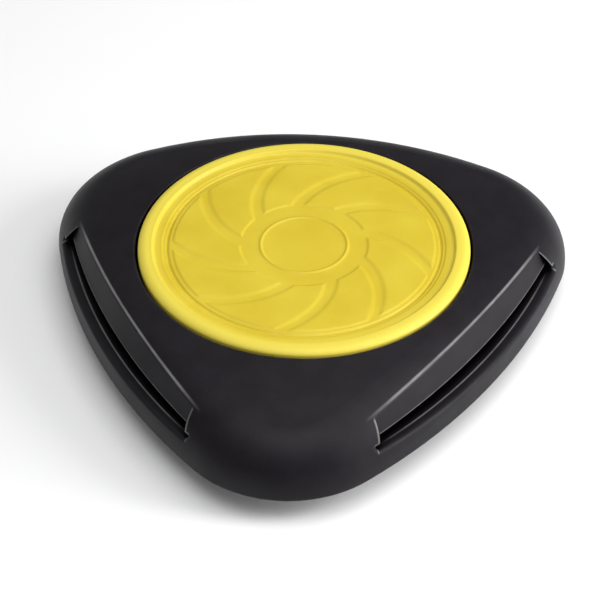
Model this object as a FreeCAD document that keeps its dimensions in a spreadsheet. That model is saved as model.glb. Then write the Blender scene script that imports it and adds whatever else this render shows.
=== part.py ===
import FreeCAD, Part
import math
import os

import Sketcher
from FreeCAD import Placement, Rotation, Vector

# A hand-and-knee slider for floor exercise: a rounded-triangular moulded cover with a round rubber
# grip pad let into its crown, a snapped and screwed base plate, and three ball transfer units in
# the base that let it roll in every direction.
#
# Millimetres. The origin is on the vertical three-fold axis, on the floor that the balls stand on.
# +Z is up. One corner points along -Y (the front); the others are rear right and rear left.

os.makedirs("parts", exist_ok=True)
doc = FreeCAD.newDocument("ball_slider")

# ---------------------------------------------------------------- driving dimensions

DRIVING = {
    # outline of the cover at its rim
    "tip_reach": 112.4,           # axis to the end of a corner
    "side_reach": 87.3,           # axis to the middle of a side
    "corner_round": 46.0,         # plan radius of a corner
    "wall_draft": 2.5,            # degrees
    # heights above the floor
    "rim_level": 11.5,            # lower edge of the cover
    "crown_level": 46.7,          # where the crown sphere would meet the axis
    "crown_radius": 350.0,        # radius of the crown sphere
    "shoulder_round": 22.0,       # rounding between crown and wall
    "wall": 2.3,                  # moulded wall thickness
    # facet and finger slot along the middle of each side
    "slot_half_length": 63.0,     # the facet is as long as the slot
    "slot_floor_level": 21.4,
    "slot_roof_level": 26.2,      # at the slot's mouth in the middle of a side
    "slot_roof_radius": 800.0,    # the roof is part of a sphere, so the slot is lower at its ends
    "slot_corner_round": 1.2,
    "slot_depth": 10.3,           # outline to the back of the slot
    "facet_inset": 4.0,           # outline to the facet's plane at the level of the slot's floor
    "facet_lean": 22.0,           # degrees inwards from vertical
    "facet_end_lean": 25.0,       # the same for the facet's two ends
    # grip pad and its recess
    "pad_radius": 65.0,
    "pad_gap": 0.8,
    "recess_floor_level": 36.6,
    "adhesive_thick": 0.3,
    "adhesive_radius": 60.0,
    "pad_field_level": 40.6,
    "pad_rim_level": 42.2,
    # ball transfer unit
    "ball_diameter": 31.75,
    "ball_circle": 74.5,          # distance of each ball from the axis
    "bed_ball_diameter": 2.5,
    "bed_play": 0.05,
    "cup_wall": 1.2,
    "flange_radius": 22.0,
    "flange_thick": 1.0,
    # base plate
    "base_gap": 0.2,
    "base_level": 11.9,           # lower face of the plate
    "base_thick": 2.5,
    "base_band": 2.0,             # plain band round the plate's edge
    "dish_radius": 36.0,
    "dish_depth": 2.0,
    "nub_radius": 4.5,
    # screws in the corners
    "screw_circle": 102.7,
    "screw_diameter": 3.0,
    "screw_head_diameter": 5.6,
    "screw_length": 8.0,
}

sheet = doc.addObject("Spreadsheet::Sheet", "Sheet")
for row, (alias, number) in enumerate(DRIVING.items(), start=1):
    sheet.set("A%d" % row, alias)
    sheet.set("B%d" % row, str(number))
    sheet.setAlias("B%d" % row, alias)
doc.recompute()


class Size:
    """A number together with the spreadsheet expression that gives it."""

    def __init__(self, value, text):
        self.value = value
        self.text = text

    def __add__(self, other):
        other = size(other)
        return Size(self.value + other.value, "(%s + %s)" % (self.text, other.text))

    def __sub__(self, other):
        other = size(other)
        return Size(self.value - other.value, "(%s - %s)" % (self.text, other.text))

    def __mul__(self, other):
        other = size(other)
        return Size(self.value * other.value, "(%s * %s)" % (self.text, other.text))

    def __truediv__(self, other):
        other = size(other)
        return Size(self.value / other.value, "(%s / %s)" % (self.text, other.text))

    def __neg__(self):
        return Size(-self.value, "(-%s)" % self.text)


def size(thing):
    """A Size from a plain number, or the Size itself."""
    if isinstance(thing, Size):
        return thing
    return Size(float(thing), "(%.6f)" % thing)


def root(area):
    """Square root of a Size."""
    return Size(math.sqrt(area.value), "sqrt(%s)" % area.text)


def cell(alias):
    """The Size held by one cell of the sheet."""
    return Size(float(sheet.get(alias)), "Sheet.%s" % alias)


RIM = cell("rim_level")
WALL = cell("wall")
PAD_RECESS_RADIUS = cell("pad_radius") + cell("pad_gap")
BALL_RADIUS = cell("ball_diameter") / 2
RACEWAY_RADIUS = BALL_RADIUS + cell("bed_ball_diameter") + cell("bed_play") * 2
CUP_RADIUS = RACEWAY_RADIUS + cell("cup_wall")
BASE_TOP = cell("base_level") + cell("base_thick")
BASE_INSET = WALL + cell("base_gap")

CORNER_ANGLES = {"front": -90.0, "rear_right": 30.0, "rear_left": 150.0}

# ---------------------------------------------------------------- sketches and features


def new_body(label):
    body = doc.addObject("PartDesign::Body", label)
    body.Label = label
    return body


def origin_item(body, role):
    """One of the body's own origin planes or axes."""
    return next(item for item in body.Origin.OriginFeatures if item.Role == role)


def new_sketch(body, name, plane="XY_Plane", level=None):
    """An empty sketch on an origin plane, lifted to a level when one is given."""
    sketch = body.newObject("Sketcher::SketchObject", name)
    sketch.AttachmentSupport = [(origin_item(body, plane), "")]
    sketch.MapMode = "FlatFace"
    if level is not None:
        sketch.AttachmentOffset = Placement(Vector(0, 0, level.value), Rotation())
        sketch.setExpression("AttachmentOffset.Base.z", level.text)
    return sketch


def bind(sketch, kind, references, length):
    """Adds one dimension to a sketch and ties it to the sheet."""
    index = sketch.addConstraint(Sketcher.Constraint(kind, *references, length.value))
    name = "d%d" % index
    sketch.renameConstraint(index, name)
    sketch.setExpression("Constraints.%s" % name, length.text)


def pin_point(sketch, geometry, vertex, across, up):
    """Fixes one sketch point at two coordinates from the sketch's origin."""
    bind(sketch, "DistanceX", (-1, 1, geometry, vertex), size(across))
    bind(sketch, "DistanceY", (-1, 1, geometry, vertex), size(up))


def closed_outline(sketch, corners, rounds=()):
    """A closed outline through corners, each a pair of Sizes. The edges that start at the corners
    numbered in rounds are parts of circles centred on the sketch's vertical axis."""
    spots = [Vector(size(across).value, size(up).value, 0) for across, up in corners]
    edges = []
    for index, (start, end) in enumerate(zip(spots, spots[1:] + spots[:1])):
        if index not in rounds:
            edges.append((sketch.addGeometry(Part.LineSegment(start, end), False), 1, 2))
            continue
        middle = (start + end) / 2
        across = end - start
        centre = Vector(0, middle.y + middle.x * across.x / across.y, 0)
        turns = [math.degrees(math.atan2(p.y - centre.y, p.x - centre.x)) for p in (start, end)]
        forward = (turns[1] - turns[0]) % 360 < 180
        low, high = turns if forward else reversed(turns)
        arc = sketch.addGeometry(arc_about(centre, (start - centre).Length, low, high), False)
        sketch.addConstraint(Sketcher.Constraint("PointOnObject", arc, 3, -2))
        edges.append((arc, 1, 2) if forward else (arc, 2, 1))
    for edge, following in zip(edges, edges[1:] + edges[:1]):
        ends = (edge[0], edge[2], following[0], following[1])
        sketch.addConstraint(Sketcher.Constraint("Coincident", *ends))
    for edge, (across, up) in zip(edges, corners):
        pin_point(sketch, edge[0], edge[1], across, up)


def circle(sketch, across, up, radius):
    across, up, radius = size(across), size(up), size(radius)
    ring = Part.Circle(Vector(across.value, up.value, 0), Vector(0, 0, 1), radius.value)
    index = sketch.addGeometry(ring, False)
    pin_point(sketch, index, 3, across, up)
    bind(sketch, "Radius", (index,), radius)


def rectangle(sketch, left, right, low, high):
    closed_outline(sketch, [(left, low), (right, low), (right, high), (left, high)])


def arc_about(centre, radius, from_degrees, to_degrees):
    ring = Part.Circle(centre, Vector(0, 0, 1), radius)
    return Part.ArcOfCircle(ring, math.radians(from_degrees), math.radians(to_degrees))


def outline(sketch, inset):
    """The slider's outline moved in by inset: three corner arcs and three bowed sides, all tangent."""
    inset = size(inset)
    corner_centre = cell("tip_reach") - cell("corner_round")
    side = cell("side_reach")
    corner = cell("corner_round")
    bow = (corner_centre * corner_centre + side * side - corner_centre * side - corner * corner) \
        / (side * 2 - corner_centre - corner * 2)
    side_centre = (bow - side).value
    join = math.degrees(math.atan2(corner_centre.value / 2 + side_centre,
                                   corner_centre.value * math.sqrt(3) / 2))
    arcs = []
    for turn in range(3):
        corner_angle = -90.0 + 120.0 * turn
        side_angle = corner_angle + 60.0
        towards_corner = Vector(math.cos(math.radians(corner_angle)),
                                math.sin(math.radians(corner_angle)), 0)
        towards_side = Vector(math.cos(math.radians(side_angle)),
                              math.sin(math.radians(side_angle)), 0)
        corner_arc = sketch.addGeometry(
            arc_about(towards_corner * corner_centre.value, (corner - inset).value,
                      corner_angle - (join - 30.0), corner_angle + (join - 30.0)), False)
        pin_point(sketch, corner_arc, 3,
                  corner_centre * towards_corner.x, corner_centre * towards_corner.y)
        bind(sketch, "Radius", (corner_arc,), corner - inset)
        side_arc = sketch.addGeometry(
            arc_about(towards_side * -side_centre, (bow - inset).value,
                      side_angle - (90.0 - join), side_angle + (90.0 - join)), False)
        bind(sketch, "Radius", (side_arc,), bow - inset)
        arcs += [corner_arc, side_arc]
    for arc, following in zip(arcs, arcs[1:] + arcs[:1]):
        sketch.addConstraint(Sketcher.Constraint("Tangent", arc, 2, following, 1))


def extrude(body, kind, name, sketch, length, reverse=False):
    """A Pad or a Pocket of a sketch over a length from the sheet."""
    feature = body.newObject("PartDesign::%s" % kind, name)
    feature.Profile = sketch
    feature.Length = size(length).value
    feature.setExpression("Length", size(length).text)
    feature.Reversed = reverse
    sketch.Visibility = False
    doc.recompute()
    return feature


def turn(body, kind, name, sketch, degrees=None):
    """A Revolution or a Groove about the sketch's upright axis: all round, or a part turn both ways."""
    feature = body.newObject("PartDesign::%s" % kind, name)
    feature.Profile = sketch
    feature.ReferenceAxis = (sketch, ["V_Axis"])
    if degrees is None:
        feature.Angle = 360.0
    else:
        feature.Midplane = True
        feature.Angle = degrees.value
        feature.setExpression("Angle", degrees.text)
    sketch.Visibility = False
    doc.recompute()
    return feature


def thrice(body, name, features):
    """Repeats features at the three corners or sides."""
    pattern = body.newObject("PartDesign::PolarPattern", name)
    pattern.Originals = features
    pattern.Axis = (origin_item(body, "Z_Axis"), [""])
    pattern.Angle = 360.0
    pattern.Occurrences = 3
    body.Tip = pattern
    doc.recompute()
    return pattern


def round_edges(body, name, base, radius, chosen):
    """Rounds the edges of base that chosen(edge) accepts."""
    names = ["Edge%d" % (i + 1) for i, edge in enumerate(base.Shape.Edges) if chosen(edge)]
    feature = body.newObject("PartDesign::Fillet", name)
    feature.Base = (base, names)
    feature.Radius = size(radius).value
    feature.setExpression("Radius", size(radius).text)
    doc.recompute()
    return feature


def lowest_vertex(edge):
    return min(vertex.Z for vertex in edge.Vertexes)


def highest_vertex(edge):
    return max(vertex.Z for vertex in edge.Vertexes)


def nearest_vertex(edge):
    """Distance from the axis to the nearest end of an edge."""
    return min(math.hypot(vertex.X, vertex.Y) for vertex in edge.Vertexes)


# ---------------------------------------------------------------- cover


def flat_disc(body, kind, name, radius, low, high, inner=0):
    """A disc or ring on the axis between two levels, cut away (Groove) or added (Revolution)."""
    sketch = new_sketch(body, name + "_profile", plane="XZ_Plane")
    rectangle(sketch, inner, radius, low, high)
    return turn(body, kind, name, sketch)


OUTSIDE = cell("tip_reach") + 10
ABOVE = cell("crown_level") + 5
FLOOR = cell("slot_floor_level")
RECESS_FLOOR = cell("recess_floor_level")
SCREW_Y = -cell("screw_circle")
WELL_FLOOR = cell("base_level") + 6
BOSS_TOP = WELL_FLOOR + 2

LEAN = math.radians(cell("facet_lean").value)
LEAN_TANGENT = Size(math.tan(LEAN), "tan(Sheet.facet_lean * 1 deg)")
LEAN_COSINE = Size(math.cos(LEAN), "cos(Sheet.facet_lean * 1 deg)")


def facet_reach(level):
    """Distance of a facet from the axis, at the middle of a side, at a level."""
    return cell("side_reach") - cell("facet_inset") - (size(level) - FLOOR) * LEAN_TANGENT


BROW_REACH = facet_reach(cell("slot_roof_level"))


def sphere_drop(radius, reach):
    """How far a sphere centred on the axis falls from its top to a distance from the axis."""
    return radius - root(radius * radius - size(reach) * size(reach))


def cut_above_sphere(body, name, radius, top):
    """Cuts away everything above a sphere centred on the axis, with its top at a level."""
    edge = OUTSIDE + 10
    sketch = new_sketch(body, name + "_profile", plane="YZ_Plane")
    closed_outline(sketch, [(0, top), (0, ABOVE), (-edge, ABOVE), (-edge, top - sphere_drop(radius, edge))],
                   rounds=(3,))
    return turn(body, "Groove", name, sketch)


def crowned_block(body, name, inset, foot):
    """The cover's outer form moved in by inset: drafted walls, spherical crown, rounded shoulder."""
    inset = size(inset)
    foot_sketch = new_sketch(body, name + "_outline", level=foot)
    outline(foot_sketch, inset)
    block = extrude(body, "Pad", name + "_walls", foot_sketch, cell("crown_level") - foot)
    block.TaperAngle = -cell("wall_draft").value
    block.setExpression("TaperAngle", "-Sheet.wall_draft")
    crown = cut_above_sphere(body, name + "_crown", cell("crown_radius") - inset,
                             cell("crown_level") - inset)
    return round_edges(body, name + "_shoulder", crown, cell("shoulder_round") - inset,
                       lambda edge: lowest_vertex(edge) > foot.value + 1 and
                       nearest_vertex(edge) > cell("pad_radius").value)


def side_blocks(name, grown, end_lean):
    """A body of three blocks, one at the middle of each side, from the slot's floor upwards. Their
    ends lean inwards by end_lean degrees, and their lower corners are rounded."""
    body = new_body(name)
    body.AllowCompound = True
    half = cell("slot_half_length") + grown
    foot = FLOOR - grown
    length = 62
    sketch = new_sketch(body, name + "_outline", level=foot)
    rectangle(sketch, -half, half, OUTSIDE - length, OUTSIDE)
    block = extrude(body, "Pad", name + "_block", sketch, ABOVE - foot)
    block.TaperAngle = -end_lean.value
    block.setExpression("TaperAngle", "-%s" % end_lean.text)
    blocks = thrice(body, name + "_blocks", [block])
    round_edges(body, name + "_corners", blocks, cell("slot_corner_round") + grown,
                lambda edge: highest_vertex(edge) < foot.value + 1 and
                abs(edge.Length - length) < 1)
    return body


def keep_core(body, name, inset, foot):
    """Takes the slider's outline, moved in by inset, out of a body from a level upwards."""
    sketch = new_sketch(body, name + "_outline", level=foot)
    outline(sketch, inset)
    return extrude(body, "Pocket", name, sketch, ABOVE - foot + 1, reverse=True)


def facet_form(name, grown):
    """What the three facets take off the sides, grown inwards by a wall: its back leans inwards."""
    body = side_blocks(name, grown, cell("facet_end_lean"))
    inset = cell("facet_inset") - grown * LEAN_TANGENT + grown / LEAN_COSINE
    core = keep_core(body, name + "_core", inset, FLOOR - grown)
    core.TaperAngle = -cell("facet_lean").value
    core.setExpression("TaperAngle", "-Sheet.facet_lean")
    return body


def slot_form(name, grown):
    """The space of the three finger slots, grown on every side."""
    body = side_blocks(name, grown, size(0))
    radius = cell("slot_roof_radius")
    top = cell("slot_roof_level") + sphere_drop(radius, BROW_REACH)
    cut_above_sphere(body, name + "_roof", radius + grown, top + grown)
    keep_core(body, name + "_core", cell("slot_depth") + grown, FLOOR - grown)
    return body


def cover_blank():
    """The cover before its slots are cut and it is hollowed: block and pad recess."""
    body = new_body("cover_blank")
    crowned_block(body, "blank", 0, RIM)
    flat_disc(body, "Groove", "pad_recess", PAD_RECESS_RADIUS, RECESS_FLOOR, ABOVE)
    return body


def cover_cavity():
    """The space inside the cover, less its bosses, ribs, support tube and catch plates."""
    body = new_body("cover_cavity")
    crowned_block(body, "cavity", WALL, RIM)
    ceiling = RECESS_FLOOR - 2
    flat_disc(body, "Groove", "recess_underside", PAD_RECESS_RADIUS + 1.7, ceiling, ABOVE)
    flat_disc(body, "Groove", "support_tube", 12, BASE_TOP + 2.6, ceiling + 1, inner=10)

    def leave(name, level, draw):
        """Leaves material of the cover from a level up to its roof."""
        sketch = new_sketch(body, name + "_outline", level=level)
        draw(sketch)
        return extrude(body, "Pocket", name, sketch, ABOVE - level, reverse=True)

    def restore(name, level, height, draw):
        """Opens a hole again in material that was left."""
        sketch = new_sketch(body, name + "_outline", level=level)
        draw(sketch)
        return extrude(body, "Pad", name, sketch, height)

    catch_low = BASE_TOP + 1.6
    catch = leave("catch_plate", catch_low, lambda sk: rectangle(sk, -6, 6, 59.4, 61.0))
    boss = leave("screw_boss", BOSS_TOP + 0.1, lambda sk: circle(sk, 0, SCREW_Y, 3.6))
    side_rib = leave("side_rib", BASE_TOP + 9.6, lambda sk: rectangle(sk, -0.8, 0.8, 11.5, 59.6))
    corner_rib = leave("corner_rib", BASE_TOP + 13.6, lambda sk: rectangle(sk, -0.8, 0.8, -50, -11.5))
    thrice(body, "left_standing", [catch, boss, side_rib, corner_rib])
    window = restore("catch_window", catch_low + 3.4, size(2.8),
                     lambda sk: rectangle(sk, -4.8, 4.8, 59.3, 61.1))
    pilot = restore("screw_pilot", BOSS_TOP, cell("screw_length") - 1,
                    lambda sk: circle(sk, 0, SCREW_Y, cell("screw_diameter") / 2 + 0.05))
    thrice(body, "opened_again", [window, pilot])
    return body


def cut(label, base, tool):
    """A boolean cut with a label of its own."""
    piece = doc.addObject("Part::Cut", label)
    piece.Label = label
    piece.Base = base
    piece.Tool = tool
    doc.recompute()
    return piece


def long_edges(shape, chosen):
    """Numbers of the long edges whose middle is chosen(its distance from the axis, its level)."""
    found = []
    for number, edge in enumerate(shape.Edges, start=1):
        middle = edge.valueAt((edge.FirstParameter + edge.LastParameter) / 2)
        if edge.Length > 50 and chosen(math.hypot(middle.x, middle.y), middle.z):
            found.append(number)
    return found


def top_cover():
    """The moulded cover: a shell whose inner wall steps in round the finger slots, edges rounded."""
    none = size(0)
    outer = cut("cover_faceted", cover_blank(), facet_form("facets", none))
    outer = cut("cover_outside", outer, slot_form("finger_slots", none))
    inner = cut("cover_behind_facets", cover_cavity(), facet_form("facet_jackets", WALL))
    inner = cut("cover_inside", inner, slot_form("slot_jackets", WALL))
    shell = cut("cover_shell", outer, inner)
    side = cell("side_reach").value
    brow = cell("slot_roof_level").value
    recess = PAD_RECESS_RADIUS.value
    recess_edge = (cell("crown_level") - sphere_drop(cell("crown_radius"), recess)).value
    near = 0.2
    rounded = {
        "rim": (0.6, lambda reach, level: abs(level - RIM.value) < near and
                min(abs(reach - side), abs(reach - cell("tip_reach").value)) < near),
        "lip": (1.4, lambda reach, level: abs(level - FLOOR.value) < near and reach > side - 1),
        "brow": (0.4, lambda reach, level: abs(level - brow) < near and
                 abs(reach - BROW_REACH.value) < near),
        "crease": (0.6, lambda reach, level: level > brow + 1 and
                   abs(reach - facet_reach(level).value) < near),
        "recess": (0.7, lambda reach, level: abs(level - recess_edge) < near and
                   abs(reach - recess) < near),
    }
    cover = doc.addObject("Part::Fillet", "top_cover")
    cover.Label = "top_cover"
    cover.Base = shell
    edges = []
    for name, (radius, chosen) in rounded.items():
        numbers = long_edges(shell.Shape, chosen)
        print("%s: %d edges rounded" % (name, len(numbers)))
        edges += [(number, radius, radius) for number in numbers]
    cover.Edges = edges
    doc.recompute()
    return cover


# ---------------------------------------------------------------- pad


def grip_pad():
    """Rubber disc: rounded raised rim, a step, a ring groove and a flat field."""
    body = new_body("grip_pad")
    bottom = RECESS_FLOOR + cell("adhesive_thick")
    field = cell("pad_field_level")
    crest = cell("pad_rim_level")
    edge = cell("pad_radius")
    profile = new_sketch(body, "pad_profile", plane="XZ_Plane")
    closed_outline(profile, [
        (0, bottom), (edge, bottom), (edge, crest - 1.6), (edge - 0.5, crest - 0.6),
        (edge - 1.6, crest - 0.1), (edge - 2.8, crest), (edge - 4.4, crest - 0.15),
        (edge - 5.6, crest - 0.6), (edge - 6.2, field + 0.3), (edge - 9.4, field + 0.3),
        (edge - 9.9, field), (edge - 10.6, field), (edge - 11.0, field - 0.6),
        (edge - 12.0, field - 0.6), (edge - 12.4, field), (0, field)])
    turn(body, "Revolution", "pad_disc", profile)
    return body


def pad_adhesive():
    body = new_body("pad_adhesive")
    flat_disc(body, "Revolution", "adhesive_disc", cell("adhesive_radius"), RECESS_FLOOR,
              RECESS_FLOOR + cell("adhesive_thick"))
    return body


# ---------------------------------------------------------------- base plate


def base_plate():
    """Bottom cover: plate with plain edge band, dish, ball openings, tool slots, wells and snaps."""
    body = new_body("base_plate")
    low = cell("base_level")
    edge_low = low - 0.3

    plate = new_sketch(body, "plate_outline", level=edge_low)
    outline(plate, BASE_INSET)
    extrude(body, "Pad", "plate", plate, BASE_TOP - edge_low)
    field = new_sketch(body, "field_outline", level=edge_low)
    outline(field, BASE_INSET + cell("base_band"))
    extrude(body, "Pocket", "field", field, low - edge_low, reverse=True)
    wall = new_sketch(body, "upstand_outline", level=BASE_TOP)
    outline(wall, BASE_INSET + 1.3)
    outline(wall, BASE_INSET + 2.5)
    extrude(body, "Pad", "upstand", wall, size(3))

    depth = cell("dish_depth")
    reach = cell("dish_radius")
    bulge = new_sketch(body, "bulge_profile", plane="XZ_Plane")
    closed_outline(bulge, [(0, low + 1), (reach, low + 1), (reach, BASE_TOP), (0, BASE_TOP + depth)],
                   rounds=(2,))
    turn(body, "Revolution", "bulge", bulge)
    dish = new_sketch(body, "dish_profile", plane="XZ_Plane")
    closed_outline(dish, [(0, low - 5), (reach, low - 5), (reach, low), (0, low + depth)], rounds=(2,))
    turn(body, "Groove", "dish", dish)
    flat_disc(body, "Revolution", "gate_nub", cell("nub_radius"), low + depth - 0.9, low + depth + 0.5)

    def raised(name, height, draw):
        sketch = new_sketch(body, name + "_outline", level=BASE_TOP - 0.5)
        draw(sketch)
        return extrude(body, "Pad", name, sketch, size(height) + 0.5)

    def opened(name, depth, draw, level=low - 1):
        sketch = new_sketch(body, name + "_outline", level=level)
        draw(sketch)
        return extrude(body, "Pocket", name, sketch, size(depth), reverse=True)

    ball_y = -cell("ball_circle")
    well = raised("well", BOSS_TOP - BASE_TOP, lambda sk: circle(sk, 0, SCREW_Y, 4.6))
    hook = raised("snap_hook", 6.6, lambda sk: rectangle(sk, -4, 4, 61.6, 63.4))
    ring_rib = raised("pocket_rib", 1.2, lambda sk: rectangle(sk, -0.8, 0.8, 40, 56))
    barb = new_sketch(body, "snap_barb_outline", level=BASE_TOP + 5.2)
    rectangle(barb, -4, 4, 60.2, 62.4)
    barb = extrude(body, "Pad", "snap_barb", barb, size(1.4))
    thrice(body, "risers", [well, hook, ring_rib, barb])

    through = BASE_TOP - low + 2
    openings = [
        opened("ball_opening", through, lambda sk: circle(sk, 0, ball_y, CUP_RADIUS + 0.2)),
        opened("tool_slot", through, lambda sk: rectangle(sk, -3.5, 3.5, -52.4, -43.0)),
        opened("snap_slit", through, lambda sk: closed_outline(sk, [
            (-8.6, 74), (-8.6, 59), (8.6, 59), (8.6, 74), (7.4, 74), (7.4, 60.2), (-7.4, 60.2),
            (-7.4, 74)])),
        opened("catch_slit", through, lambda sk: rectangle(sk, -7.4, 7.4, 55.6, 56.8)),
        opened("screw_mouth", size(1.8), lambda sk: circle(sk, 0, SCREW_Y, 4.5)),
        opened("screw_well", WELL_FLOOR - low + 1, lambda sk: circle(sk, 0, SCREW_Y, 3.1)),
        opened("screw_hole", size(20), lambda sk: circle(sk, 0, SCREW_Y,
                                                         cell("screw_diameter") / 2 + 0.2)),
    ]
    thrice(body, "openings", openings)
    return body


def base_screws():
    """Three pan-head thread-forming screws, heads down in the wells of the base plate."""
    body = new_body("base_screws")
    body.AllowCompound = True
    head = new_sketch(body, "head_outline", level=WELL_FLOOR - 2)
    circle(head, 0, SCREW_Y, cell("screw_head_diameter") / 2)
    head = extrude(body, "Pad", "head", head, size(2))
    shank = new_sketch(body, "shank_outline", level=WELL_FLOOR - 0.5)
    circle(shank, 0, SCREW_Y, cell("screw_diameter") / 2)
    shank = extrude(body, "Pad", "shank", shank, cell("screw_length") + 0.5)
    cross = new_sketch(body, "cross_outline", level=WELL_FLOOR - 3)
    arm, half = 1.5, 0.35
    closed_outline(cross, [(x, SCREW_Y + y) for x, y in (
        (-arm, -half), (-half, -half), (-half, -arm), (half, -arm), (half, -half), (arm, -half),
        (arm, half), (half, half), (half, arm), (-half, arm), (-half, half), (-arm, half))])
    cross = extrude(body, "Pocket", "cross", cross, size(2.2), reverse=True)
    thrice(body, "screws", [head, shank, cross])
    return body


# ---------------------------------------------------------------- ball transfer units


def place(piece, angle):
    """Puts a piece of a ball unit at its ball's centre, with its own X pointing outwards."""
    turned = Rotation(Vector(0, 0, 1), angle)
    piece.Placement = Placement(Vector(0, 0, 0), turned)
    piece.setExpression("Placement.Base.x", "Sheet.ball_circle * cos(%g deg)" % angle)
    piece.setExpression("Placement.Base.y", "Sheet.ball_circle * sin(%g deg)" % angle)
    piece.setExpression("Placement.Base.z", BALL_RADIUS.text)
    doc.recompute()
    return piece


FLANGE_TOP = cell("base_level") - BALL_RADIUS       # heights in a ball unit count from its centre
FLANGE_LOW = FLANGE_TOP - cell("flange_thick")
RING_LOW = BASE_TOP - BALL_RADIUS + 0.05
RING_TOP = RING_LOW + 1.0
GROOVE_DEPTH = 0.45


def ball_housing(where, angle):
    """Pressed steel cup: half-round raceway, short cylinder with a ring groove, bottom flange."""
    body = new_body("ball_housing_" + where)
    profile = new_sketch(body, "housing_profile_" + where, plane="XZ_Plane")
    closed_outline(profile, [
        (0, RACEWAY_RADIUS), (0, CUP_RADIUS), (CUP_RADIUS, 0),
        (CUP_RADIUS, RING_TOP + 0.05), (CUP_RADIUS - GROOVE_DEPTH, RING_TOP + 0.05),
        (CUP_RADIUS - GROOVE_DEPTH, RING_LOW - 0.05), (CUP_RADIUS, RING_LOW - 0.05),
        (CUP_RADIUS, FLANGE_TOP), (cell("flange_radius"), FLANGE_TOP),
        (cell("flange_radius"), FLANGE_LOW + 0.3), (cell("flange_radius") - 0.3, FLANGE_LOW),
        (RACEWAY_RADIUS, FLANGE_LOW), (RACEWAY_RADIUS, 0)], rounds=(1, 12))
    turn(body, "Revolution", "housing_" + where, profile)
    return place(body, angle)


def ball_retainer(where, angle):
    """Turned steel ring pressed into the housing's mouth; its lip holds the ball in."""
    body = new_body("ball_retainer_" + where)
    outer = RACEWAY_RADIUS - 0.08
    nose = outer - 0.6
    profile = new_sketch(body, "retainer_profile_" + where, plane="XZ_Plane")
    closed_outline(profile, [
        (BALL_RADIUS - 0.02, -2.8), (outer, -2.8), (outer, -4.7), (nose, -4.7), (nose, -5.5),
        (nose - 0.2, -5.9), (nose - 0.6, -6.1), (BALL_RADIUS - 0.8, -6.1),
        (BALL_RADIUS - 0.95, -5.9), (BALL_RADIUS - 0.3, -4.4)])
    turn(body, "Revolution", "retainer_" + where, profile)
    return place(body, angle)


def dust_seal(where, angle):
    """Felt wiper ring above the retainer."""
    body = new_body("dust_seal_" + where)
    flat_disc(body, "Revolution", "seal_" + where, RACEWAY_RADIUS - 0.1, size(-2.7), size(-0.9),
              inner=BALL_RADIUS + 0.1)
    return place(body, angle)


def retaining_ring(where, angle):
    """Open spring ring in the housing's groove, above the plate; its gap faces the tool slot."""
    body = new_body("retaining_ring_" + where)
    sketch = new_sketch(body, "ring_profile_" + where, plane="XZ_Plane")
    rectangle(sketch, CUP_RADIUS - GROOVE_DEPTH + 0.05, cell("flange_radius") + 0.6, RING_LOW, RING_TOP)
    turn(body, "Revolution", "ring_" + where, sketch, degrees=size(328))
    return place(body, angle)


def load_ball(where, angle):
    ball = doc.addObject("Part::Sphere", "load_ball_" + where)
    ball.Label = "load_ball_" + where
    ball.Radius = BALL_RADIUS.value
    ball.setExpression("Radius", BALL_RADIUS.text)
    return place(ball, angle)


def bed_balls(where, angle):
    """The small steel balls between the load ball and the raceway, in rings round the top."""
    radius = cell("bed_ball_diameter").value / 2
    path = BALL_RADIUS.value + cell("bed_play").value + radius
    balls = [Part.makeSphere(radius, Vector(0, 0, path))]
    for ring, count in enumerate((6, 12, 18), start=1):
        tilt = math.radians(18.0 * ring)
        for step in range(count):
            turned = 2 * math.pi * (step + 0.5 * (ring % 2)) / count
            spot = Vector(path * math.sin(tilt) * math.cos(turned),
                          path * math.sin(tilt) * math.sin(turned), path * math.cos(tilt))
            balls.append(Part.makeSphere(radius, spot))
    group = doc.addObject("Part::Feature", "bed_balls_" + where)
    group.Label = "bed_balls_" + where
    group.Shape = Part.makeCompound(balls)
    return place(group, angle)


# ---------------------------------------------------------------- build, check and write

pieces = [top_cover(), base_plate(), grip_pad(), pad_adhesive(), base_screws()]
for where, angle in CORNER_ANGLES.items():
    for make in (ball_housing, ball_retainer, dust_seal, retaining_ring, load_ball, bed_balls):
        pieces.append(make(where, angle))
doc.recompute()

for item in doc.Objects:
    if "Invalid" in item.State or "Error" in item.State:
        raise RuntimeError("%s did not rebuild: %s" % (item.Label, item.State))
for piece in pieces:
    if piece.Shape.isNull() or not piece.Shape.isValid():
        raise RuntimeError("%s has no valid shape" % piece.Label)
for piece in pieces:
    piece.Shape.exportStep("parts/%s.step" % piece.Label)
    print("%-28s %2d solid(s) %10.1f mm3" % (piece.Label, len(piece.Shape.Solids), piece.Shape.Volume))
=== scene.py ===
import math

import bpy
import numpy as np
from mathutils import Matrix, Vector


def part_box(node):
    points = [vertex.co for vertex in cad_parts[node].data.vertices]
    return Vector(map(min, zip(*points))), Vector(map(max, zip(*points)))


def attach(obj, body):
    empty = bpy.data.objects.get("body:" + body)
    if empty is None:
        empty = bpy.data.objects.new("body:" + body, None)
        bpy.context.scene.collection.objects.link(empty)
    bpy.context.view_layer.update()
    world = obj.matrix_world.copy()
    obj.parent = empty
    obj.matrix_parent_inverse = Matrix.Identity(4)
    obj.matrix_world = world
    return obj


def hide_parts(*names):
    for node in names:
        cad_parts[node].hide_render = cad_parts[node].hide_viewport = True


# Looks, pad, floor, lights and camera for the ball-roller slider. Metres, in the CAD frame: the
# origin is on the three-fold axis at floor level, +Z is up and the front corner points along -Y.

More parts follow.
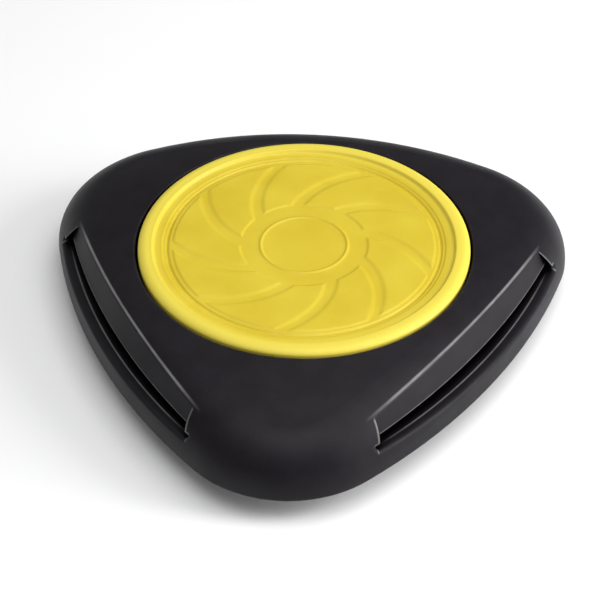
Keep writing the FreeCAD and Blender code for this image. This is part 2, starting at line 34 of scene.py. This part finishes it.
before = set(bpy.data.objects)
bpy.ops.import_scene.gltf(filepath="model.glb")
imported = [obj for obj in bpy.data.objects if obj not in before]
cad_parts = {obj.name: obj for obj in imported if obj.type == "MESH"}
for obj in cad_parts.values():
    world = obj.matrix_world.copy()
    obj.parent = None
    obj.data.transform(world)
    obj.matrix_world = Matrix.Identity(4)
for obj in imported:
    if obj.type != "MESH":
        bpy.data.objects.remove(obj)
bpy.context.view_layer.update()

MM = 0.001
CORNERS = ("front", "rear_right", "rear_left")

# ---------------------------------------------------------------- node building


class Look:
    """A procedural material and short calls that add nodes to it."""

    def __init__(self, name, **sockets):
        self.material = bpy.data.materials.new(name)
        self.material.use_nodes = True
        self.tree = self.material.node_tree
        self.shader = next(n for n in self.tree.nodes if n.type == "BSDF_PRINCIPLED")
        for socket, value in sockets.items():
            self.plug(self.shader.inputs[socket.replace("_", " ")], value)

    def plug(self, socket, value):
        """Links a node's output to a socket, or sets the socket to a number or colour."""
        if isinstance(value, bpy.types.NodeSocket):
            self.tree.links.new(value, socket)
        else:
            socket.default_value = value

    def node(self, kind, output=0, settings=None, **inputs):
        """Adds a node and returns one of its outputs. Inputs are named, or _0, _1 by number."""
        made = self.tree.nodes.new("ShaderNode" + kind)
        for name, value in (settings or {}).items():
            setattr(made, name, value)
        for name, value in inputs.items():
            key = int(name[1:]) if name[0] == "_" else name.replace("_", " ")
            self.plug(made.inputs[key], value)
        return made.outputs[output]

    def here(self, centre=(0, 0, 0), stretch=(1, 1, 1)):
        """Position on the object in millimetres from centre, which is in metres."""
        spot = self.node("TexCoord", "Object")
        offset = [-c * s / MM for c, s in zip(centre, stretch)]
        return self.node("Mapping", Vector=spot, Location=offset, Scale=[s / MM for s in stretch])

    def flat(self, spot):
        """A position with its height taken away."""
        return self.node("VectorMath", 0, {"operation": "MULTIPLY"}, _0=spot, _1=(1.0, 1.0, 0.0))

    def radius(self, spot):
        """Distance of a position from the vertical axis through its zero."""
        return self.node("VectorMath", "Value", {"operation": "LENGTH"}, _0=self.flat(spot))

    def noise(self, where, size, detail=2.0, roughness=0.5, distortion=0.0):
        """Noise from 0 to 1 whose lumps are about size millimetres."""
        return self.node("TexNoise", "Fac", Vector=where, Scale=1.0 / size, Detail=detail,
                         Roughness=roughness, Distortion=distortion)

    def span(self, value, low, high, to_low=0.0, to_high=1.0):
        """Maps low..high onto to_low..to_high, held at the ends."""
        return self.node("MapRange", Value=value, From_Min=low, From_Max=high,
                         To_Min=to_low, To_Max=to_high)

    def maths(self, operation, first, second=0.0):
        return self.node("Math", settings={"operation": operation}, _0=first, _1=second)

    def ridge(self, value, middle, width):
        """1 where value is at the middle, falling to 0 at half the width to either side."""
        off = self.maths("ABSOLUTE", self.maths("SUBTRACT", value, middle))
        return self.span(off, 0.15 * width, 0.5 * width, 1.0, 0.0)

    def blend(self, factor, first, second):
        """A colour between two colours."""
        return self.node("Mix", 2, {"data_type": "RGBA"}, _0=factor, _6=first, _7=second)

    def soft_edges(self, radius):
        """Surface direction with sharp edges rounded over a radius in millimetres."""
        return self.node("Bevel", settings={"samples": 6}, Radius=radius * MM)

    def edge_mask(self, rounded):
        """1 along rounded edges and 0 on open faces."""
        true_normal = self.node("NewGeometry", "Normal")
        along = self.node("VectorMath", "Value", {"operation": "DOT_PRODUCT"}, _0=rounded, _1=true_normal)
        return self.span(along, 0.97, 0.86)

    def clear_of_painted_shade(self, reach):
        """1 on open faces and 0 deep in slots and gaps narrower than reach millimetres, from ambient
        occlusion; marks where shade is painted in.
        """
        shade = self.node("AmbientOcclusion", "AO", {"samples": 8}, Distance=reach * MM)
        return self.span(shade, 0.45, 0.85)

    def bump(self, height, depth, below=None):
        """Surface direction disturbed by height, which stands for depth millimetres."""
        inputs = {"Height": height, "Distance": depth * MM, "Strength": 1.0}
        if below is not None:
            inputs["Normal"] = below
        return self.node("Bump", **inputs)

    def finish(self, colour=None, roughness=None, normal=None):
        for socket, value in (("Base Color", colour), ("Roughness", roughness), ("Normal", normal)):
            if value is not None:
                self.plug(self.shader.inputs[socket], value)
        return self.material


def rgb(red, green, blue):
    return (red, green, blue, 1.0)


# ---------------------------------------------------------------- materials


SIDE_REACH = 87.3           # middle of a side of the cover, in millimetres from the axis
SIDE_BOW = 254.2            # radius of a bowed side
FACET_INSET = 4.0           # from the outline to the facet at the level of the slot's floor
FACET_LEAN = math.radians(22.0)
END_LEAN = math.radians(25.0)       # lean of the facet's two ends
SLOT_FLOOR = 21.4           # levels of the slot's floor and roof at the facet
SLOT_ROOF = 26.2
SLOT_END = 63.0             # from the middle of the side to the slot's end, at floor level
ROOF_RADIUS = 800.0         # the slot's roof is crowned
SIDE_DIRECTIONS = (-30.0, 90.0, 210.0)
LINE_WIDTH = 0.9            # of a painted highlight line
CREASE_FADE = (44.0, 62.0)  # the painted crease highlight fades out between these distances from the side's middle
BROW_FADE = (62.0, 64.0)


def painted_highlight_lines(look, spot):
    """1 along painted highlight lines: each facet's crease, the slot's brow and its ends."""
    flat = look.flat(spot)
    level = look.node("SeparateXYZ", "Z", Vector=spot)
    brow_reach = SIDE_REACH - FACET_INSET - (SLOT_ROOF - SLOT_FLOOR) * math.tan(FACET_LEAN)
    square = look.node("VectorMath", "Value", {"operation": "DOT_PRODUCT"}, _0=flat, _1=flat)
    sag = look.maths("DIVIDE", look.maths("SUBTRACT", brow_reach ** 2, square), 2 * ROOF_RADIUS)
    above_roof = look.maths("SUBTRACT", look.maths("SUBTRACT", level, sag), SLOT_ROOF)
    above_floor = look.maths("SUBTRACT", level, SLOT_FLOOR)
    leaning = look.maths("MULTIPLY", above_floor, math.tan(FACET_LEAN))
    end_leaning = look.maths("MULTIPLY", above_floor, math.tan(END_LEAN))
    lines = 0.0
    for degrees in SIDE_DIRECTIONS:
        heading = math.radians(degrees)
        out = Vector((math.cos(heading), math.sin(heading), 0.0))
        along = Vector((-out.y, out.x, 0.0))
        centre = out * (SIDE_REACH - SIDE_BOW)
        bow = look.node("VectorMath", "Value", {"operation": "DISTANCE"}, _0=flat, _1=centre)
        behind = look.maths("SUBTRACT", look.maths("SUBTRACT", SIDE_BOW - FACET_INSET, bow), leaning)
        slide = look.node("VectorMath", "Value", {"operation": "DOT_PRODUCT"}, _0=flat, _1=along)
        off_middle = look.maths("ABSOLUTE", slide)
        crease = look.maths("MULTIPLY", look.ridge(behind, 0.5, LINE_WIDTH),
                            look.span(off_middle, *CREASE_FADE, 1.0, 0.0))
        on_facet = look.ridge(behind, 0.0, 0.8)
        brow = look.maths("MULTIPLY", look.ridge(above_roof, 0.35, LINE_WIDTH), on_facet)
        brow = look.maths("MULTIPLY", brow, look.span(off_middle, *BROW_FADE, 0.9, 0.0))
        before = look.span(behind, -0.5, -0.1, 1.0, 0.0)
        end = look.ridge(look.maths("ADD", off_middle, end_leaning), SLOT_END + 0.4, LINE_WIDTH)
        end = look.maths("MULTIPLY", end, before)
        end = look.maths("MULTIPLY", end, look.span(level, SLOT_FLOOR - 0.8, SLOT_FLOOR, 0.0, 0.8))
        for line in (crease, brow, end):
            lines = look.maths("MAXIMUM", lines, line)
    return lines


def cover_plastic():
    """Black moulded plastic with a fine spark-eroded grain; edges painted lighter, partly wear and partly
    painted highlight, painted highlight lines along the creases, brows and slot ends, and painted shade
    deep in the slots.
    """
    look = Look("cover_black")
    spot = look.here()
    grain = look.noise(spot, 0.55, detail=3.0, roughness=0.7)
    mottle = look.noise(spot, 9.0, detail=3.0)
    cloud = look.noise(spot, 38.0, detail=1.0)
    edges = look.soft_edges(1.3)
    # Edges painted lighter: partly wear, partly a painted highlight where the edges catch light.
    wear_and_painted_highlight = look.maths("MULTIPLY", look.edge_mask(edges), look.span(mottle, 0.35, 0.65, 0.5, 1.0))
    clear_of_painted_shade = look.clear_of_painted_shade(9.0)
    base = look.blend(look.span(mottle, 0.35, 0.65), rgb(0.0068, 0.0054, 0.0078),
                      rgb(0.0096, 0.0080, 0.0108))
    speck = look.blend(look.span(grain, 0.55, 0.75, 0.0, 0.3), base, rgb(0.024, 0.021, 0.027))
    # Painted highlight: the crease, brow and slot-end lines and the edges are painted much lighter, as
    # light caught on these edges would look; on the edges this is partly wear too.
    painted_highlight_and_wear = look.maths("MULTIPLY", look.maths("MAXIMUM", wear_and_painted_highlight, painted_highlight_lines(look, spot)),
                        look.span(mottle, 0.35, 0.65, 0.7, 1.0))
    surface = look.blend(painted_highlight_and_wear, speck, rgb(0.21, 0.20, 0.20))
    # Painted shade: deep in the slots and gaps the colour goes nearly black and the specular level drops,
    # standing in for the shade there.
    colour = look.blend(clear_of_painted_shade, rgb(0.0010, 0.0008, 0.0010), surface)
    look.plug(look.shader.inputs["Specular IOR Level"], look.span(clear_of_painted_shade, 0.0, 1.0, 0.02, 0.17))
    rough = look.span(look.maths("ADD", grain, cloud), 0.7, 1.3, 0.40, 0.52)
    return look.finish(colour, rough, look.bump(grain, 0.05, edges))


def base_plastic():
    """Smoother black plastic of the base plate, with faint flow marks from its centre gate and lighter
    edges, partly wear and partly painted highlight.
    """
    look = Look("base_black", Specular_IOR_Level=0.5)
    spot = look.here()
    fine = look.noise(spot, 0.8, detail=2.0)
    flow = look.noise(spot, 14.0, detail=4.0, distortion=1.5)
    edges = look.soft_edges(0.4)
    # Edges painted lighter: partly wear, partly a painted highlight where the edges catch light.
    wear_and_painted_highlight = look.maths("MULTIPLY", look.edge_mask(edges), 0.4)
    base = look.blend(look.span(flow, 0.35, 0.65), rgb(0.0085, 0.0072, 0.0070),
                      rgb(0.0135, 0.0115, 0.0110))
    rough = look.span(flow, 0.3, 0.7, 0.27, 0.38)
    relief = look.maths("ADD", look.maths("MULTIPLY", fine, 0.3), flow)
    return look.finish(look.blend(wear_and_painted_highlight, base, rgb(0.05, 0.048, 0.05)), rough,
                       look.bump(relief, 0.04, edges))


def pad_rubber():
    """Yellow grip rubber: fine matt grain, faint cloudiness and a rim painted paler as a painted
    highlight.
    """
    look = Look("pad_yellow", Specular_IOR_Level=0.35, Subsurface_Weight=0.08,
                Subsurface_Radius=(1.0, 0.6, 0.15), Subsurface_Scale=1.2 * MM)
    spot = look.here()
    grain = look.noise(spot, 0.5, detail=2.0, roughness=0.6)
    cloud = look.noise(spot, 22.0, detail=3.0)
    scuff = look.noise(look.here(stretch=(1.0, 0.3, 1.0)), 5.0, detail=5.0, roughness=0.7)
    base = look.blend(look.span(cloud, 0.35, 0.65), rgb(0.60, 0.450, 0.022), rgb(0.65, 0.505, 0.034))
    scuffed = look.blend(look.span(scuff, 0.58, 0.80, 0.0, 0.25), base, rgb(0.56, 0.42, 0.04))
    radius = look.radius(spot)
    # Painted highlight: the rim is painted paler, standing in for light caught on its rounded top.
    colour = look.blend(look.span(radius, 56.0, 61.0, 0.0, 0.9), scuffed, rgb(0.76, 0.63, 0.075))
    rough = look.span(look.maths("ADD", scuff, grain), 0.7, 1.3, 0.42, 0.56)
    return look.finish(colour, rough, look.bump(grain, 0.025))


def adhesive_film():
    look = Look("adhesive_film")
    spot = look.here()
    fibres = look.noise(look.here(stretch=(1.0, 0.2, 1.0)), 0.6, detail=3.0)
    colour = look.blend(fibres, rgb(0.72, 0.72, 0.68), rgb(0.82, 0.82, 0.79))
    return look.finish(colour, look.span(look.noise(spot, 4.0), 0.3, 0.7, 0.3, 0.5),
                       look.bump(fibres, 0.02))


def turned_metal(name, centre, dark, light, low_rough, high_rough, lines=0.22, depth=0.012):
    """Metal with fine lines round a vertical axis, patchy plating and a slightly soft edge."""
    look = Look(name, Metallic=1.0)
    spot = look.here(centre=centre)
    radius = look.radius(spot)
    height = look.node("SeparateXYZ", "Z", Vector=spot)
    ring = look.node("CombineXYZ", X=radius, Y=height)
    turning = look.noise(ring, lines, detail=3.0, roughness=0.6)
    plating = look.noise(spot, 3.5, detail=4.0, roughness=0.6)
    edges = look.soft_edges(0.25)
    mixed = look.maths("ADD", look.maths("MULTIPLY", turning, 0.6), look.maths("MULTIPLY", plating, 0.4))
    colour = look.blend(look.span(mixed, 0.35, 0.65), dark, light)
    rough = look.span(plating, 0.3, 0.7, low_rough, high_rough)
    return look.finish(colour, rough, look.bump(turning, depth, edges))


def nylon():
    """Off-white nylon of the load balls, slightly translucent, with faint rolling scuffs."""
    look = Look("nylon_white", Subsurface_Weight=0.25, Subsurface_Radius=(1.0, 0.85, 0.65),
                Subsurface_Scale=2.0 * MM, Specular_IOR_Level=0.5)
    spot = look.here()
    fine = look.noise(spot, 0.7, detail=3.0, roughness=0.6)
    scuffs = look.noise(spot, 2.6, detail=5.0, roughness=0.75, distortion=2.0)
    tint = look.noise(spot, 12.0)
    base = look.blend(look.span(tint, 0.35, 0.65), rgb(0.78, 0.765, 0.72), rgb(0.84, 0.83, 0.80))
    colour = look.blend(look.span(scuffs, 0.60, 0.72, 0.0, 0.35), base, rgb(0.55, 0.53, 0.49))
    rough = look.span(scuffs, 0.40, 0.70, 0.26, 0.45)
    return look.finish(colour, rough, look.bump(look.maths("ADD", fine, scuffs), 0.02))


def pressed_felt():
    look = Look("felt", Sheen_Weight=0.4, Specular_IOR_Level=0.1, Roughness=0.95)
    hair = look.noise(look.here(), 0.35, detail=5.0, roughness=0.8, distortion=1.0)
    colour = look.blend(look.span(hair, 0.35, 0.7), rgb(0.035, 0.034, 0.033), rgb(0.14, 0.135, 0.13))
    return look.finish(colour, None, look.bump(hair, 0.25))


def black_zinc(name):
    """Dark plated screws: cloudy plating, bright where the driver has touched the edges."""
    look = Look(name, Metallic=1.0)
    spot = look.here()
    plating = look.noise(spot, 1.4, detail=4.0, roughness=0.65)
    edges = look.soft_edges(0.15)
    colour = look.blend(look.span(plating, 0.35, 0.65), rgb(0.10, 0.10, 0.105), rgb(0.19, 0.19, 0.20))
    bare = look.blend(look.maths("MULTIPLY", look.edge_mask(edges), 0.6), colour, rgb(0.42, 0.42, 0.43))
    return look.finish(bare, look.span(plating, 0.3, 0.7, 0.28, 0.45), look.bump(plating, 0.01, edges))


def wear(node, material):
    """Gives one CAD node its material."""
    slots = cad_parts[node].data.materials
    slots.clear()
    slots.append(material)


def ball_centre(where):
    """Centre of a load ball at rest."""
    low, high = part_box("load_ball_" + where)
    return (low + high) / 2


wear("top_cover", cover_plastic())
wear("base_plate", base_plastic())
wear("pad_adhesive", adhesive_film())
wear("base_screws", black_zinc("screw_steel"))
nylon_white = nylon()
felt = pressed_felt()
for where in CORNERS:
    centre = ball_centre(where)
    zinc = turned_metal("zinc_steel_" + where, centre, rgb(0.36, 0.43, 0.53), rgb(0.66, 0.74, 0.84),
                        0.14, 0.28)
    spring = turned_metal("spring_steel_" + where, centre, rgb(0.10, 0.095, 0.095),
                          rgb(0.20, 0.19, 0.185), 0.35, 0.5, lines=0.4)
    bearing = turned_metal("bearing_steel_" + where, centre, rgb(0.62, 0.63, 0.64),
                           rgb(0.78, 0.79, 0.80), 0.06, 0.14, lines=0.8, depth=0.002)
    wear("ball_housing_" + where, zinc)
    wear("ball_retainer_" + where, zinc)
    wear("retaining_ring_" + where, spring)
    wear("bed_balls_" + where, bearing)
    wear("dust_seal_" + where, felt)
    wear("load_ball_" + where, nylon_white)

# ---------------------------------------------------------------- grip pad


def ease(value, centre, width):
    """Smooth step from 0 to 1 over width, half way at centre."""
    t = np.clip((value - centre) / width + 0.5, 0.0, 1.0)
    return t * t * (3.0 - 2.0 * t)


def hump(value, centre, width):
    """Smooth hump of height 1 and full width at its foot."""
    t = np.clip(np.abs(value - centre) / (width / 2), 0.0, 1.0)
    return 0.5 + 0.5 * np.cos(math.pi * t)


PANELS = 9                  # raised panels round the field, a plain repeating pattern
PANEL_INNER = 25.0 * MM
PANEL_OUTER = 51.2 * MM
PANEL_GAP = 4.2 * MM
PANEL_HEIGHT = 0.4 * MM
PANEL_EDGE = 1.1 * MM
PANEL_SWEEP = math.radians(34.0)    # turn of each gap between its inner and its outer end

RIM_WIDTH = 6.0 * MM        # from the pad's edge to the middle of the rim's inner step
RIM_HEIGHT = 1.25 * MM
RIM_CREST = 3.4 * MM        # from the pad's edge to where the rim starts to round over
RIM_DROP = 2.2 * MM         # from the crest down to the top of the pad's wall
TERRACE_WIDTH = 9.65 * MM
TERRACE_HEIGHT = 0.35 * MM
GROOVE_INSET = 11.5 * MM
GROOVE_DEPTH = 0.6 * MM
CENTRE_RING = 17.0 * MM
CENTRE_RING_HEIGHT = 0.4 * MM
FIELD_DEPTH = 1.6 * MM      # from the crest of the rim down to the field
FOOT_CHAMFER = 0.3 * MM
COLUMNS = 540               # mesh columns round the pad


def panel_relief(radius, angle):
    """Height of the raised panels of the field: plain swept sectors with gaps between."""
    pitch = 2 * math.pi / PANELS
    swept = angle + PANEL_SWEEP * (radius - PANEL_INNER) / (PANEL_OUTER - PANEL_INNER)
    turned = np.mod(swept + pitch / 2, pitch) - pitch / 2
    lean = math.atan(PANEL_SWEEP * (PANEL_OUTER + PANEL_INNER) / 2 / (PANEL_OUTER - PANEL_INNER))
    from_gap = radius * np.sin(pitch / 2 - np.abs(turned)) * math.cos(lean) - PANEL_GAP / 2
    inside = np.minimum(np.minimum(from_gap, radius - PANEL_INNER), PANEL_OUTER - radius)
    return PANEL_HEIGHT * ease(inside, 0.0, PANEL_EDGE)


def pad_level(radius, angle, edge, crest):
    """Height of the pad's moulded top: rim, terrace, ring groove, centre ring and panels."""
    rim = RIM_HEIGHT * ease(radius, edge - RIM_WIDTH, 1.2 * MM)
    terrace = TERRACE_HEIGHT * ease(radius, edge - TERRACE_WIDTH, 0.6 * MM)
    groove = GROOVE_DEPTH * hump(radius, edge - GROOVE_INSET, 1.9 * MM)
    ring = CENTRE_RING_HEIGHT * hump(radius, CENTRE_RING, 1.8 * MM)
    over = np.clip((radius - edge + RIM_CREST) / RIM_CREST, 0.0, 1.0)
    drop = RIM_DROP * (1.0 - np.sqrt(1.0 - over ** 2))
    return crest - FIELD_DEPTH + rim + terrace - groove + ring - drop + panel_relief(radius, angle)


def pad_radii(edge):
    """Radii of the mesh rings, closer together where the relief changes."""
    quarter = np.linspace(0.0, math.pi / 2, 14)
    stretches = ((1.2, 15.6, 8), (16.0, 18.0, 8), (19.5, 24.0, 4), (24.4, 26.4, 7), (27.5, 49.5, 24),
                 (50.1, 61.4, 46))
    rings = [np.linspace(first, last, count) * MM for first, last, count in stretches]
    rings.append(edge - RIM_CREST + RIM_CREST * np.sin(quarter[1:]))
    return np.concatenate(rings)


def grip_pad():
    """The rubber pad as one closed mesh, from the moulded top over the wall to the flat foot."""
    low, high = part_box("grip_pad")
    edge = high.x
    crest = high.z
    angles = np.linspace(0.0, 2 * math.pi, COLUMNS, endpoint=False)
    ring_radius, ring_angle = np.meshgrid(pad_radii(edge), angles, indexing="ij")
    height = pad_level(ring_radius, ring_angle, edge, crest)
    rows = [np.stack([ring_radius * np.cos(ring_angle), ring_radius * np.sin(ring_angle), height], -1)]
    wall = [(edge, crest - RIM_DROP - 1.2 * MM), (edge, low.z + FOOT_CHAMFER),
            (edge - FOOT_CHAMFER, low.z), (edge * 0.5, low.z)]
    for reach, up in wall:
        rows.append(np.stack([reach * np.cos(angles), reach * np.sin(angles),
                              np.full(COLUMNS, up)], -1)[None])
    grid = np.concatenate(rows)
    count = len(grid)
    points = [tuple(p) for p in grid.reshape(-1, 3)]
    points += [(0.0, 0.0, crest - FIELD_DEPTH), (0.0, 0.0, low.z)]
    top = count * COLUMNS
    bottom = top + 1
    last = top - COLUMNS
    faces = []
    for j in range(COLUMNS):
        k = (j + 1) % COLUMNS
        faces.append((top, j, k))
        faces.append((bottom, last + k, last + j))
        for start in range(0, last, COLUMNS):
            faces.append((start + j, start + COLUMNS + j, start + COLUMNS + k, start + k))
    mesh = bpy.data.meshes.new("grip_pad_moulded")
    mesh.from_pydata(points, [], faces)
    mesh.shade_smooth()
    mesh.materials.append(pad_rubber())
    pad = bpy.data.objects.new("grip_pad_moulded", mesh)
    bpy.context.scene.collection.objects.link(pad)
    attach(pad, "shell")
    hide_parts("grip_pad")


grip_pad()

# ---------------------------------------------------------------- floor, light and camera


FLOOR_HALF = 3.0
SKY_STEEPNESS = (0.2, 1.0)          # height of a direction where the sky is dimmest and brightest
SKY_STRENGTH = (0.10, 0.60)


def floor():
    half = FLOOR_HALF
    mesh = bpy.data.meshes.new("studio_floor")
    mesh.from_pydata([(-half, -half, 0), (half, -half, 0), (half, half, 0), (-half, half, 0)],
                     [], [(0, 1, 2, 3)])
    look = Look("studio_floor", Specular_IOR_Level=0.1)
    paper = look.noise(look.here(), 60.0, detail=3.0)
    mesh.materials.append(look.finish(
        look.blend(paper, rgb(0.91, 0.91, 0.91), rgb(0.93, 0.93, 0.93)), 0.8))
    made = bpy.data.objects.new("studio_floor", mesh)
    bpy.context.scene.collection.objects.link(made)


def softbox(name, place, aim, width, height, watts, colour=(1.0, 1.0, 1.0)):
    light = bpy.data.lights.new(name, "AREA")
    light.shape = "RECTANGLE"
    light.size = width
    light.size_y = height
    light.energy = watts
    light.color = colour
    lamp = bpy.data.objects.new(name, light)
    lamp.location = place
    lamp.rotation_euler = (Vector(aim) - Vector(place)).to_track_quat("-Z", "Y").to_euler()
    bpy.context.scene.collection.objects.link(lamp)


def sky_light():
    """Soft light from above and below that fades towards the horizon."""
    world = bpy.data.worlds.new("studio")
    world.use_nodes = True
    tree = world.node_tree
    sky = tree.nodes["Background"]
    sky.inputs["Color"].default_value = rgb(1.0, 1.0, 1.0)
    direction = tree.nodes.new("ShaderNodeTexCoord")
    split = tree.nodes.new("ShaderNodeSeparateXYZ")
    steepness = tree.nodes.new("ShaderNodeMath")
    steepness.operation = "ABSOLUTE"
    fade = tree.nodes.new("ShaderNodeMapRange")
    tree.links.new(direction.outputs["Generated"], split.inputs["Vector"])
    tree.links.new(split.outputs["Z"], steepness.inputs[0])
    tree.links.new(steepness.outputs["Value"], fade.inputs["Value"])
    fade.inputs["From Min"].default_value, fade.inputs["From Max"].default_value = SKY_STEEPNESS
    fade.inputs["To Min"].default_value, fade.inputs["To Max"].default_value = SKY_STRENGTH
    tree.links.new(fade.outputs["Result"], sky.inputs["Strength"])
    return world


def studio():
    """Large light overhead, a strong strip on the right and a faint one behind on the left."""
    scene = bpy.context.scene
    scene.world = sky_light()
    scene.view_settings.view_transform = "Standard"
    softbox("overhead", (0.2, -0.2, 1.1), (0, 0, 0), 1.1, 0.8, 7.5)
    softbox("right_strip", (0.95, -0.1, 0.42), (0, 0, 0.02), 0.35, 0.8, 11.0)
    softbox("left_strip", (-0.9, 0.4, 0.75), (0, 0, 0.02), 0.3, 0.7, 0.4, (0.94, 0.97, 1.0))


# From the viewing direction of the reference picture, aimed at the middle of the object.
EYE = Vector((0.0635, -0.7326, 0.6441))
AIM = Vector((-0.001, -0.0065, 0.0175))
LENS = 146.0


def camera():
    data = bpy.data.cameras.new("camera")
    data.lens = LENS
    data.sensor_width = 36.0        # millimetres, as is the lens
    data.clip_start = 0.01
    made = bpy.data.objects.new("camera", data)
    made.location = EYE
    made.rotation_euler = (AIM - EYE).to_track_quat("-Z", "Y").to_euler()
    bpy.context.scene.collection.objects.link(made)
    bpy.context.scene.camera = made


floor()
studio()
camera()
